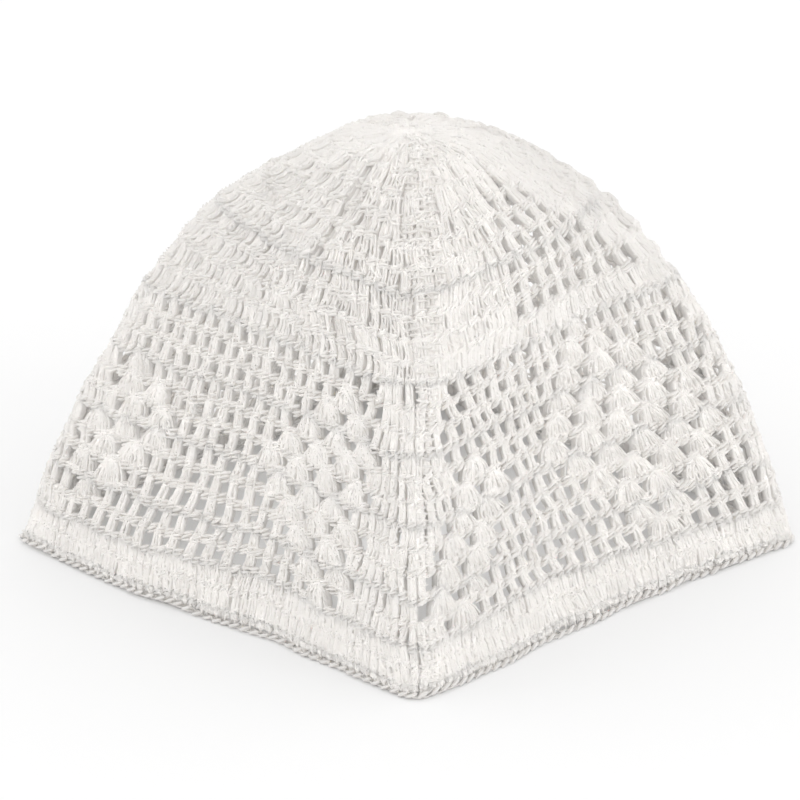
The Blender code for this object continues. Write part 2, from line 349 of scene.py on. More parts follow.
def outer_face(share, degrees):
    """Points on the cap's outer face for flat arrays of share and turn."""
    radii = corner_ring(share)
    stations = section_column("share")
    ahead = np.zeros(radii.shape)
    ahead[:, LEFT_CORNER] = smooth_through(stations, section_column("left_ahead"), share)
    ahead[:, RIGHT_CORNER] = smooth_through(stations, section_column("right_ahead"), share)
    spread = np.interp(share, ROUNDING_SHARES, ROUNDING_DEGREES)
    across = np.zeros(len(share))
    along = np.zeros(len(share))
    total = 0.0
    for offset in ROUNDING_OFFSETS:
        weight = math.exp(-0.5 * offset * offset)
        x, y = sharp_section(radii, ahead, degrees + offset * spread)
        across += weight * x
        along += weight * y
        total += weight
    angle = np.radians(degrees)
    sway = smooth_through(stations, section_column("sway"), share)
    lift = smooth_through(stations, section_column("lift"), share)
    height = smooth_through(stations, section_column("height"), share)
    x = across / total + sway * np.clip(np.cos(angle), 0.0, 1.0) ** 2 + CENTRING
    z = height + lift * (1 - np.cos(4 * angle)) / 2
    return np.stack([x, along / total, z], axis=-1)


def from_ridge(turn):
    """Degrees from the nearer of the front and back ridges, below nought on its left side."""
    return (turn + 90.0) % 180.0 - 90.0


class Cloth:
    """The cap's outer face as a fine grid over share and turn, with lengths measured on it."""

    SHARES = 420
    TURNS = 1440
    LEAST_PER_DEGREE = 0.02

    def __init__(self):
        share = np.linspace(0.0, 1.0, self.SHARES)
        turn = np.arange(self.TURNS + 1) * 360.0 / self.TURNS
        grid_share, grid_turn = np.meshgrid(share, turn, indexing="ij")
        points = outer_face(grid_share.ravel(), grid_turn.ravel())
        self.points = points.reshape(self.SHARES, self.TURNS + 1, 3)
        down = np.gradient(self.points, axis=0)
        ring = self.points[:, :-1]
        around = (np.roll(ring, -1, 1) - np.roll(ring, 1, 1)) / 2
        around = np.concatenate([around, around[:, :1]], axis=1)
        normal = np.cross(down, around)
        length = np.linalg.norm(normal, axis=-1, keepdims=True)
        self.normals = normal / np.maximum(length, TINY)
        self.normals[0] = (0.0, 0.0, 1.0)
        step = np.linalg.norm(np.diff(self.points, axis=1), axis=-1)
        start = np.zeros((self.SHARES, 1))
        self.arc = np.concatenate([start, np.cumsum(step, axis=1)], axis=1)
        self.turn = turn
        self.per_degree = np.linalg.norm(around, axis=-1) * self.TURNS / 360.0
        self.per_share = np.linalg.norm(down, axis=-1) * (self.SHARES - 1)
        self.waves = []
        for _ in range(3):
            laps = rng.integers(*STRAY_LAPS, STRAY_WAVES)
            rows = rng.uniform(-STRAY_TURNS, STRAY_TURNS, STRAY_WAVES)
            start = rng.uniform(0.0, 2 * math.pi, STRAY_WAVES)
            self.waves.append(list(zip(laps, rows, start)))

    def sample(self, grid, share, turn):
        """Bilinear value of a grid at arrays of share and turn."""
        row = np.clip(share, 0.0, 1.0) * (self.SHARES - 1)
        column = (turn % 360.0) * self.TURNS / 360.0
        low_row = np.minimum(row.astype(int), self.SHARES - 2)
        low_column = np.minimum(column.astype(int), self.TURNS - 1)
        down = row - low_row
        along = column - low_column
        if grid.ndim == 3:
            down = down[..., None]
            along = along[..., None]
        next_row = low_row + 1
        next_column = low_column + 1
        upper = grid[low_row, low_column] * (1 - along) + grid[low_row, next_column] * along
        lower = grid[next_row, low_column] * (1 - along) + grid[next_row, next_column] * along
        return upper * (1 - down) + lower * down

    def arc_ring(self, share):
        """Distance from the front ridge at every turn of the grid, for one share."""
        row = min(max(share, 0.0), 1.0) * (self.SHARES - 1)
        low = min(int(row), self.SHARES - 2)
        way = row - low
        return self.arc[low] * (1 - way) + self.arc[low + 1] * way

    def turn_at(self, share, distance):
        """Turn of the points that lie a distance along one row from the front ridge."""
        ring = self.arc_ring(share)
        whole = ring[-1]
        laps = np.floor(np.asarray(distance, float) / whole)
        return np.interp(distance - laps * whole, ring, self.turn) + 360.0 * laps

    def place(self, share, turn, aside, down, depth):
        """World points for stitches: aside, down and depth are lengths from (share, turn)."""
        strays = [self.stray(waves, share, turn) for waves in self.waves]
        aside = aside + strays[0] * STRAY_ALONG
        down = down + strays[1] * STRAY_ALONG
        depth = depth + strays[2] * STRAY_DEPTH
        per_degree = self.sample(self.per_degree, share, turn)
        turn = turn + aside / np.maximum(per_degree, self.LEAST_PER_DEGREE)
        share = share + down / self.sample(self.per_share, share, turn)
        rows = (1.0 - share) * ROWS_IN_ALL
        past_ridge = from_ridge(turn)
        fall = np.cos(0.5 * math.pi * np.clip(past_ridge / SAG_DEGREES, -1.0, 1.0)) ** 2
        sag_rows, sags = np.array(SAG).T
        share = share + np.interp(rows, sag_rows, sags) * fall / ROWS_IN_ALL
        per_degree = self.sample(self.per_degree, share, turn)
        depth = depth - self.crest(rows, past_ridge * per_degree)
        past_crease = (turn - CREASE_TURN + 180.0) % 360.0 - 180.0
        depth = depth + self.crease(rows, past_crease * per_degree)
        points = self.sample(self.points, share, turn)
        normals = self.sample(self.normals, share, turn)
        normals = normals / np.linalg.norm(normals, axis=-1, keepdims=True)
        return points - normals * depth[..., None], normals

    def crest(self, rows, aside):
        """How proud the cloth stands beside a ridge: a steep left side and a gentle right one."""
        climb = np.clip(aside / CREST_STEP + 0.5, 0.0, 1.0)
        fade = np.clip(1.0 - aside / CREST_FADE, 0.0, 1.0)
        fade = fade * fade * (3 - 2 * fade)
        along = np.interp(rows, CREST_ROWS, FADE_IN_AND_OUT)
        return CREST_RISE * climb * climb * (3 - 2 * climb) * fade * along

    def crease(self, rows, aside):
        """How deep the cloth lies beside the front left crease."""
        along = np.interp(rows, CREASE_ROWS, FADE_IN_AND_OUT)
        return CREASE_DEPTH * along * np.exp(-((aside / CREASE_WIDTH) ** 2))

    def stray(self, waves, share, turn):
        """Uneven hand tension: a sum of waves over the cloth, of about unit size."""
        total = 0.0
        for laps, rows, start in waves:
            total = total + np.sin(laps * np.radians(turn) + rows * share * ROWS_IN_ALL + start)
        return total * math.sqrt(2.0 / len(waves))


cloth = Cloth()


def row_share(rows_above_rim):
    return 1.0 - rows_above_rim / ROWS_IN_ALL


class YarnMesh:
    """Collects strands and turns them into one mesh of closed tubes."""

    def __init__(self):
        self.points = []
        self.ply = []
        self.tone = []
        self.quads = []
        self.triangles = []
        self.count = 0

    def add(self, centres, normals, radii):
        """Strands as arrays: centres and normals (strand, step, 3), radii (strand, step)."""
        strands, steps = centres.shape[:2]
        centres = centres.copy()
        centres[..., 2] = np.maximum(centres[..., 2], radii)
        tangent = np.gradient(centres, axis=1)
        tangent /= np.maximum(np.linalg.norm(tangent, axis=-1, keepdims=True), TINY)
        aside = np.cross(tangent, normals)
        aside /= np.maximum(np.linalg.norm(aside, axis=-1, keepdims=True), TINY)
        up = np.cross(aside, tangent)
        angle = np.arange(SIDES) * 2 * math.pi / SIDES
        cosine = np.cos(angle)[None, None, :, None]
        sine = np.sin(angle)[None, None, :, None]
        ring = up[:, :, None] * cosine + aside[:, :, None] * sine
        skin = centres[:, :, None] + ring * radii[:, :, None, None]
        step_length = np.linalg.norm(np.diff(centres, axis=1), axis=-1)
        along = np.concatenate([np.zeros((strands, 1)), np.cumsum(step_length, axis=1)], axis=1)
        along = along + rng.uniform(0.0, PLY_LENGTH, (strands, 1))
        per_strand = steps * SIDES
        vertices = skin.reshape(strands, -1, 3)
        ply = np.zeros((strands, per_strand, 3))
        ply[:, :, 0] = np.tile(np.cos(angle), steps)
        ply[:, :, 1] = np.tile(np.sin(angle), steps)
        ply[:, :, 2] = np.repeat(along, SIDES, axis=1)
        tone = np.repeat(rng.uniform(0.0, 1.0, (strands, 1)), per_strand, axis=1)
        side = np.arange(SIDES)
        following = (side + 1) % SIDES
        rings = np.arange(steps - 1)[:, None] * SIDES
        corners = (rings + side, rings + following, rings + SIDES + following, rings + SIDES + side)
        quads = np.stack(corners, -1).reshape(-1, 4)
        caps = np.stack([side[::-1], (steps - 1) * SIDES + side])
        base = self.count + np.arange(strands)[:, None, None] * per_strand
        self.points.append(vertices.reshape(-1, 3))
        self.ply.append(ply.reshape(-1, 3))
        self.tone.append(tone.ravel())
        self.quads.append((quads[None] + base).reshape(-1, 4))
        self.triangles.append((caps[None] + base).reshape(-1, 3))
        self.count += strands * per_strand

    def build(self, name, material):
        points = np.concatenate(self.points) * MM
        quads = np.concatenate(self.quads)
        triangles = np.concatenate(self.triangles)
        mesh = bpy.data.meshes.new(name)
        mesh.vertices.add(len(points))
        mesh.vertices.foreach_set("co", points.astype(np.float32).ravel())
        corners = np.concatenate([quads.ravel(), triangles.ravel()]).astype(np.int32)
        sizes = np.concatenate([np.full(len(quads), 4), np.full(len(triangles), 3)])
        starts = np.concatenate([[0], np.cumsum(sizes)[:-1]]).astype(np.int32)
        mesh.loops.add(len(corners))
        mesh.loops.foreach_set("vertex_index", corners)
        mesh.polygons.add(len(sizes))
        mesh.polygons.foreach_set("loop_start", starts)
        mesh.polygons.foreach_set("use_smooth", np.ones(len(sizes), bool))
        ply = mesh.attributes.new("ply", "FLOAT_VECTOR", "POINT")
        ply.data.foreach_set("vector", np.concatenate(self.ply).astype(np.float32).ravel())
        tone = mesh.attributes.new("tone", "FLOAT", "POINT")
        tone.data.foreach_set("value", np.concatenate(self.tone).astype(np.float32))
        mesh.update(calc_edges=True)
        mesh.validate()
        mesh.materials.append(material)
        piece = bpy.data.objects.new(name, mesh)
        bpy.context.scene.collection.objects.link(piece)
        return piece


class Round:
    """One round of work: its posts, its fans, and the links of the chain along its foot."""

    def __init__(self, top_row, foot_row, rib, relief=None, backs=CLOSE_BACKS):
        self.rib = rib
        self.backs = backs
        self.even_relief = relief
        self.top_share = row_share(top_row)
        self.foot_share = row_share(foot_row)
        self.posts = []
        self.fans = []
        self.links = []
        self.whole_top = cloth.arc_ring(self.top_share)[-1]
        self.whole_foot = cloth.arc_ring(self.foot_share)[-1]

    def post(self, top, foot, widths):
        """A post between two distances from the front ridge, on its top and its foot chain."""
        top_turn = float(cloth.turn_at(self.top_share, top))
        foot_turn = float(cloth.turn_at(self.foot_share, foot))
        self.posts.append((top_turn, foot_turn, *widths))

    def relief(self, turn):
        """How strongly the stitches stand out at an array of turns."""
        if self.even_relief is None:
            row = (1.0 - self.foot_share) * ROWS_IN_ALL
            fade = np.interp(row, FLAT_ROWS, (1.0, FLAT_SHARE))
            return fade * np.interp(from_ridge(turn), CROWN_RELIEF_TURNS, CROWN_RELIEF)
        return np.full(np.shape(turn), self.even_relief)

    def close_post(self, top, foot):
        """A post among close stitches, slimmer where the stitches stand out."""
        turn = float(cloth.turn_at(self.foot_share, foot))
        row = (1.0 - self.foot_share) * ROWS_IN_ALL
        slimness = min(float(self.relief(turn)), float(np.interp(row, SLIM_ROWS, SLIM_LIMITS)))
        width = float(np.interp(slimness, RELIEF_LIMITS, CLOSE_WIDTHS))
        self.post(top, foot, (width, width * CLOSE_FLARE))

    def fan(self, top, foot, widths):
        """Five posts in one foot of the round above, whose strands spread from it."""
        top_turn = float(cloth.turn_at(self.top_share, top))
        foot_turn = float(cloth.turn_at(self.foot_share, foot))
        self.fans.append((top_turn, foot_turn, *widths))

    def link(self, foot, length, slope=CLOSE_SLOPE, drop=0.0):
        self.links.append((float(cloth.turn_at(self.foot_share, foot)), length, slope, drop))


def scatter(count, spread, middle=0.0):
    """A random number for each stitch, in a bell curve round the middle."""
    return rng.normal(middle, spread, (count, 1))


def within(count, limits):
    """A random number for each stitch, between the limits."""
    return rng.uniform(*limits, (count, 1))


def strand_radii(count, steps, radius, taper):
    """Radii along strands whose ends are thinner by the taper."""
    profile = np.ones(steps)
    profile[0] = taper
    profile[-1] = taper
    return radius * within(count, RADIUS_RANGE) * profile[None]


def yarn_round(mesh, work):
    """Turns one round's posts, fans and links into strands."""
    posts = np.array(work.posts)
    yarn_posts(mesh, work, posts, POST_FRONTS, work.backs, POST_STRAND, 0.0, 0.0, 0.0)
    short_turns(mesh, work, posts, POST_TURNS, 0.0, 0.0)
    crest_strands(mesh, work, posts)
    if work.fans:
        fans = np.array(work.fans)
        shape = (FAN_BOW, FAN_SWELL, FAN_SCALLOP)
        yarn_posts(mesh, work, fans, FAN_FRONTS, FAN_BACKS, FAN_STRAND, *shape)
        short_turns(mesh, work, fans, FAN_TURNS, FAN_BOW, FAN_SWELL)
    chain(mesh, work, np.array(work.links))


def yarn_posts(mesh, work, posts, fronts, backs, front_radius, bow, swell, scallop):
    """The long strands of posts or fans. Their places are shares of half the post's width."""
    count = len(posts)
    top_turn, foot_turn, top_width, foot_width = posts.T[:, :, None]
    post_aside = scatter(count, POST_ASIDE)
    post_depth = scatter(count, POST_DEPTH)
    lean = scatter(count, POST_LEAN)
    way = np.linspace(-POST_REACH, 1.0 + POST_REACH, POST_STEPS)[None]
    inside = np.clip(way, 0.0, 1.0)
    turn = top_turn + (foot_turn - top_turn) * inside
    share = np.repeat(work.top_share + (work.foot_share - work.top_share) * way, count, axis=0)
    hump = np.sin(math.pi * inside)
    width = top_width + (foot_width - top_width) * (inside + bow * hump)
    width = width * within(count, WIDTH_RANGE)
    curve = scatter(count, POST_CURVE) * hump
    relief = work.relief(top_turn)
    rib = work.rib * relief
    back_width = np.maximum(width, BACK_WIDTH) * np.interp(relief, RELIEF_LIMITS, BACK_SPREAD)
    bundle = [(place, width, FRONT_DEPTH, front_radius) for place in fronts]
    bundle += [(place, back_width, BACK_DEPTH, BACK_STRAND) for place in backs]
    for place, spread, middle, radius in bundle:
        aside = spread * place + post_aside + curve + lean * (inside - 0.5)
        aside = aside + scatter(count, STRAND_ASIDE) + scatter(count, STRAND_CURVE) * hump
        down = scallop * (way * np.cos(0.5 * math.pi * place) - (1 - way))
        depth = middle + OUTER_SINK * min(place ** 2, 1.0) + post_depth
        depth = depth + scatter(count, STRAND_DEPTH)
        depth = depth + (rib - swell * (1 - place ** 2)) * hump
        if place > 1.0:
            depth = depth + FILLER_SINK * (relief - RELIEF_LIMITS[0])
        centres, normals = cloth.place(share, turn, aside, down, depth)
        mesh.add(centres, normals, strand_radii(count, POST_STEPS, radius, POST_TAPER))


def short_turns(mesh, work, posts, places, bow, swell):
    """The short strands on the front of posts, where the yarn has been drawn through."""
    count = len(posts)
    top_turn, foot_turn, top_width, foot_width = posts.T[:, :, None]
    relief = work.relief(top_turn)
    way = np.linspace(-1.0, 1.0, TURN_STEPS)[None]
    side = np.where(rng.uniform(0.0, 1.0, (count, 1)) < 0.5, -1.0, 1.0)
    for height in TURN_HEIGHTS:
        side = -side
        for place in places:
            middle = height + scatter(count, TURN_HEIGHT_JITTER)
            length = TURN_LENGTH * within(count, TURN_LENGTH_RANGE)
            inside = np.clip(middle + way * length / ROW_LENGTH, 0.0, 1.0)
            hump = np.sin(math.pi * inside)
            turn, share = at_height(work, top_turn, foot_turn, middle, TURN_STEPS)
            width = top_width + (foot_width - top_width) * (inside + bow * hump)
            slant = TURN_SLANT * scatter(count, TURN_SLANT_SPREAD, TURN_SLANT_MIDDLE)
            across = place * width * side + slant * way + scatter(count, TURN_ASIDE)
            depth = FRONT_DEPTH - TURN_RISE * (0.5 + 0.5 * relief) + TURN_BEND * way * way
            depth = depth + (work.rib * relief - swell * (1 - place ** 2)) * hump
            depth = depth + scatter(count, TURN_DEPTH)
            centres, normals = cloth.place(share, turn, across, length * way, depth)
            mesh.add(centres, normals, strand_radii(count, TURN_STEPS, TURN_STRAND, TURN_TAPER))


def at_height(work, top_turn, foot_turn, height, steps):
    """Turns and shares of strands that lie at one height of their posts."""
    turn = np.repeat(top_turn + (foot_turn - top_turn) * height, steps, axis=1)
    share = np.repeat(work.top_share + (work.foot_share - work.top_share) * height, steps, axis=1)
    return turn, share


def crest_strands(mesh, work, posts):
    """The short strands that run across the posts on the crest of the front and back ridges."""
    top_turn = posts[:, 0]
    share = np.full(len(posts), (work.top_share + work.foot_share) / 2)
    aside = from_ridge(top_turn) * cloth.sample(cloth.per_degree, share, top_turn)
    near = (aside > CREST_STRAND_REACH[0]) & (aside < CREST_STRAND_REACH[1])
    count = int(near.sum())
    if not count:
        return
    top_turn, foot_turn = posts[near].T[:2, :, None]
    way = np.linspace(-1.0, 1.0, TURN_STEPS)[None]
    for height in CREST_STRAND_HEIGHTS:
        middle = height + scatter(count, CREST_HEIGHT_JITTER)
        turn, share = at_height(work, top_turn, foot_turn, middle, TURN_STEPS)
        across = STITCH * CREST_STRAND_LENGTH * within(count, CREST_LENGTH_RANGE) * way
        down = within(count, CREST_DROP_RANGE) * way
        depth = FRONT_DEPTH - CREST_STRAND_RISE + CREST_STRAND_RISE * way * way
        depth = depth + scatter(count, CREST_DEPTH_JITTER)
        centres, normals = cloth.place(share, turn, across, down, depth)
        radii = strand_radii(count, TURN_STEPS, CREST_STRAND, CREST_STRAND_TAPER)
        mesh.add(centres, normals, radii)


# The chain along a round's foot: the loops of each link.
# Columns: depth of the loop's ends, how far its middle comes forward, its length in links, its
# rise from end to end, how far it lies below the line of the foot, and its radius.
LOOPS = (
    (1.05, 0.58, 1.00, 1.45, -0.66, 0.50),
    (1.00, 0.64, 0.95, 1.55, 0.20, 0.50),
    (1.20, 0.40, 1.00, 1.30, 1.02, 0.48),
    (1.45, 0.20, 1.15, -1.40, -0.25, 0.46),
    (1.75, -0.05, 1.20, 0.40, 0.50, 0.60),
)
LOOP_STEPS = 4
LOOP_TAPER = 0.6

# How uneven the links and their loops are.
LINK_DOWN = 0.09
LOOP_LENGTH_RANGE = (0.90, 1.10)
LOOP_CLIMB_RANGE = (0.5, 1.5)
LOOP_ASIDE = 0.10
LOOP_DOWN = 0.09
LOOP_DEPTH = 0.08


def chain(mesh, work, links):
    """The strands of a round's chain, loop by loop."""
    count = len(links)
    way = np.linspace(-0.5, 0.5, LOOP_STEPS)[None]
    turn = np.repeat(links[:, 0:1], LOOP_STEPS, axis=1)
    length, slope, drop = links.T[1:, :, None]
    share = np.full((count, LOOP_STEPS), work.foot_share)
    relief = work.relief(turn)
    link_down = scatter(count, LINK_DOWN)
    for ends, arch, reach, tilt, below, radius in LOOPS:
        aside = length * reach * way * within(count, LOOP_LENGTH_RANGE)
        aside = aside + scatter(count, LOOP_ASIDE)
        climb = tilt * slope * within(count, LOOP_CLIMB_RANGE)
        down = drop + below + climb * way + link_down + scatter(count, LOOP_DOWN)
        depth = ends - arch * relief * np.cos(math.pi * way) + scatter(count, LOOP_DEPTH)
        centres, normals = cloth.place(share, turn, aside, down, depth)
        mesh.add(centres, normals, strand_radii(count, LOOP_STEPS, radius, LOOP_TAPER))


def fill_close(work, start, end, top_start, top_end):
    """Close stitches between two distances on the foot chain and two on the top chain."""
    width = end - start
    if width < LEAST_RUN * STITCH:
        return
    count = max(1, round(width / STITCH))
    for index in range(count):
        way = (index + 0.5) / count
        foot = start + width * way
        work.close_post(top_start + (top_end - top_start) * way, foot)
        work.link(foot, width / count)


def distance_at(ring, whole, turn):
    """Distance from the front ridge to a turn, which may lie past a full lap."""
    return np.interp(turn % 360.0, cloth.turn, ring) + (turn >= 360.0) * whole


def crown_round(number):
    """A round of close stitches, with its gaps in the crease and in the wedge of net."""
    row_height = (ROWS_IN_ALL - NET_TOP_ROW) / CROWN_ROUNDS
    top_row = ROWS_IN_ALL - row_height * (number - 1)
    work = Round(top_row, top_row - row_height, CROWN_RIB)
    gap_turns = []
    if number in CREASE_ROUNDS:
        gap_turns.append(CREASE_TURN % 360.0)
    for wedge_round, gaps, first, last in WEDGE:
        if wedge_round == number:
            gap_turns += list(np.linspace(first, last, gaps))
    foot_ring = cloth.arc_ring(work.foot_share)
    top_ring = cloth.arc_ring(work.top_share)
    if not gap_turns:
        fill_close(work, 0.0, work.whole_foot, 0.0, work.whole_top)
        return work
    gap_turns = sorted(gap_turns)
    for index, turn in enumerate(gap_turns):
        following = gap_turns[(index + 1) % len(gap_turns)]
        if following <= turn:
            following += 360.0
        foot = distance_at(foot_ring, work.whole_foot, turn)
        top = distance_at(top_ring, work.whole_top, turn)
        foot_end = distance_at(foot_ring, work.whole_foot, following)
        top_end = distance_at(top_ring, work.whole_top, following)
        gap = CREASE_GAP if turn > 180.0 else CROWN_GAP
        half = gap / 2
        work.link(foot, gap, GAP_SLOPE)
        if foot_end - foot < SINGLE_POST_LIMIT * STITCH:
            middle = (foot + foot_end) / 2
            work.post((top + top_end) / 2, middle, SINGLE_WIDTHS)
            work.link(middle, foot_end - foot - gap, GAP_SLOPE)
        else:
            fill_close(work, foot + half, foot_end - half, top + half, top_end - half)
    return work


def chart_gaps(start, chart, fan_steps, step, length):
    """Distances of a panel's gaps from its ridge, and what stands before each."""
    gaps = [(start, None)]
    place = start
    for sign in chart:
        place += step * fan_steps if sign == "V" else step
        if place > length - RIDGE_MARGIN:
            break
        gaps.append((place, sign))
    return gaps


def net_panel(work, gaps, lean, length, ridge, way):
    """One panel of net, worked out from a ridge in one direction round the cap."""
    def leaning(distance):
        """Half the posts' lean, which dies away at both ridges."""
        from_end = max(length - distance, 0.0)
        return 0.5 * lean * min(1.0, distance / RIDGE_FADE, from_end / RIDGE_FADE)

    def at_foot(distance):
        return ridge[1] + way * (distance + leaning(distance))

    def at_top(distance):
        return ridge[0] + way * (distance - leaning(distance))

    half = NET_GAP / 2
    first = gaps[0][0]
    fill_run(work, at_top, at_foot, 0.0, first - half)
    for index, (place, _) in enumerate(gaps):
        work.link(at_foot(place), NET_GAP, GAP_SLOPE)
        if index + 1 == len(gaps):
            break
        following, sign = gaps[index + 1]
        middle = (place + following) / 2
        if sign == "V":
            fan(work, at_top, at_foot, place, following)
        else:
            work.post(at_top(middle), at_foot(middle), SINGLE_WIDTHS)
            work.link(at_foot(middle), following - place - NET_GAP, GAP_SLOPE)
    fill_run(work, at_top, at_foot, gaps[-1][0] + half, length)


def fill_run(work, at_top, at_foot, start, end):
    """Close stitches from a ridge to the first gap, or from the last gap to a ridge."""
    width = end - start
    if width < LEAST_RUN * STITCH:
        return
    count = max(1, round(width / STITCH))
    for index in range(count):
        place = start + width * (index + 0.5) / count
        work.close_post(at_top(place), at_foot(place))
        work.link(at_foot(place), width / count)


def fan(work, at_top, at_foot, place, following):
    """A fan between two gaps. The next fans start between the fans of this round."""
    middle = (place + following) / 2
    width = following - place
    size = width / (FAN_SIZE_STEPS * STEP_TOP)
    work.fan(at_top(middle), at_foot(middle), (FAN_WIDTHS[0] * size, FAN_WIDTHS[1] * size))
    for index in range(FAN_LINKS):
        offset = (index + 0.5) / FAN_LINKS - 0.5
        drop = FAN_SCALLOP * math.cos(math.pi * offset)
        work.link(at_foot(middle + offset * width), width / FAN_LINKS, GAP_SLOPE, drop)


def net_round(number):
    """A round of net: four panels, two from the front ridge and two from the back one."""
    top_row = NET_TOP_ROW - number * (NET_TOP_ROW - NET_FOOT_ROW) / NET_ROUNDS
    foot_row = top_row - (NET_TOP_ROW - NET_FOOT_ROW) / NET_ROUNDS
    work = Round(top_row, foot_row, NET_RIB, NET_RELIEF, POST_BACKS)
    left_start, left_chart, right_start, right_chart = NET[number]
    step = STEP_TOP + STEP_GROWTH * number
    middle_ring = cloth.arc_ring((work.top_share + work.foot_share) / 2)
    quarter = cloth.TURNS // 4
    lengths = np.diff(middle_ring[::quarter])
    front = (0.0, 0.0)
    back = [cloth.arc_ring(share)[2 * quarter] for share in (work.top_share, work.foot_share)]
    end = (work.whole_top, work.whole_foot)
    right = (right_start, right_chart, RIGHT_FAN_STEPS, step)
    left = (left_start, left_chart, LEFT_FAN_STEPS, step)
    net_panel(work, chart_gaps(*right, lengths[0]), RIGHT_LEAN, lengths[0], front, 1)
    net_panel(work, chart_gaps(*left, lengths[1]), LEFT_LEAN, lengths[1], back, -1)
    net_panel(work, chart_gaps(*right, lengths[2]), RIGHT_LEAN, lengths[2], back, 1)
    net_panel(work, chart_gaps(*left, lengths[3]), LEFT_LEAN, lengths[3], end, -1)
    return work


def rim_round(number):
    """A round of close stitches between the net and the edge."""
    height = (NET_FOOT_ROW - EDGE_TOP_ROW) / RIM_ROUNDS
    top_row = NET_FOOT_ROW - number * height
    work = Round(top_row, top_row - height, NET_RIB, RIM_RELIEF)
    fill_close(work, 0.0, work.whole_foot, 0.0, work.whole_top)
    return work


# The corded edge: short close stitches, and below them a chain of grains that lean along the rim.
# Columns: height of the grain over the rim, its depth, its length, its rise from its left end
# to its right one, and its radius.
GRAIN_PITCH = 2.75
GRAINS = (
    (1.20, 0.15, 2.6, 1.20, 0.54),
    (0.45, 1.20, 3.9, 0.10, 0.43),
    (0.60, 1.95, 3.6, -0.80, 0.46),
    (1.45, 1.60, 3.4, -0.60, 0.46),
)
GRAIN_STEPS = 5
GRAIN_TAPER = 0.35
GRAIN_BEND = 0.25
GRAIN_ASIDE = 0.08
GRAIN_DOWN = 0.05
GRAIN_DEPTH = 0.05


def rim_edge(mesh):
    """The edge's short stitches and its grains."""
    stitches = Round(EDGE_TOP_ROW, EDGE_FOOT_ROW, 0.0, RIM_RELIEF)
    fill_close(stitches, 0.0, stitches.whole_foot, 0.0, stitches.whole_top)
    posts = np.array(stitches.posts)
    yarn_posts(mesh, stitches, posts, POST_FRONTS, POST_BACKS, POST_STRAND, 0.0, 0.0, 0.0)
    short_turns(mesh, stitches, posts, POST_TURNS, 0.0, 0.0)
    whole = cloth.arc_ring(1.0)[-1]
    count = round(whole / GRAIN_PITCH)
    places = (np.arange(count) + 0.5) * whole / count
    turn = np.repeat(cloth.turn_at(1.0, places)[:, None], GRAIN_STEPS, axis=1)
    way = np.linspace(-0.5, 0.5, GRAIN_STEPS)[None]
    share = np.full((count, GRAIN_STEPS), 1.0)
    for above, middle, reach, rise, radius in GRAINS:
        aside = reach * way + scatter(count, GRAIN_ASIDE)
        down = -above - rise * way + scatter(count, GRAIN_DOWN)
        depth = middle + GRAIN_BEND * (2 * way) ** 2 + scatter(count, GRAIN_DEPTH)
        centres, normals = cloth.place(share, turn, aside, down, depth)
        mesh.add(centres, normals, strand_radii(count, GRAIN_STEPS, radius, GRAIN_TAPER))


# How strongly the lines between the yarn's three plies and its fuzz show.
PLY_RELIEF = 0.5
FUZZ_RELIEF = 0.8


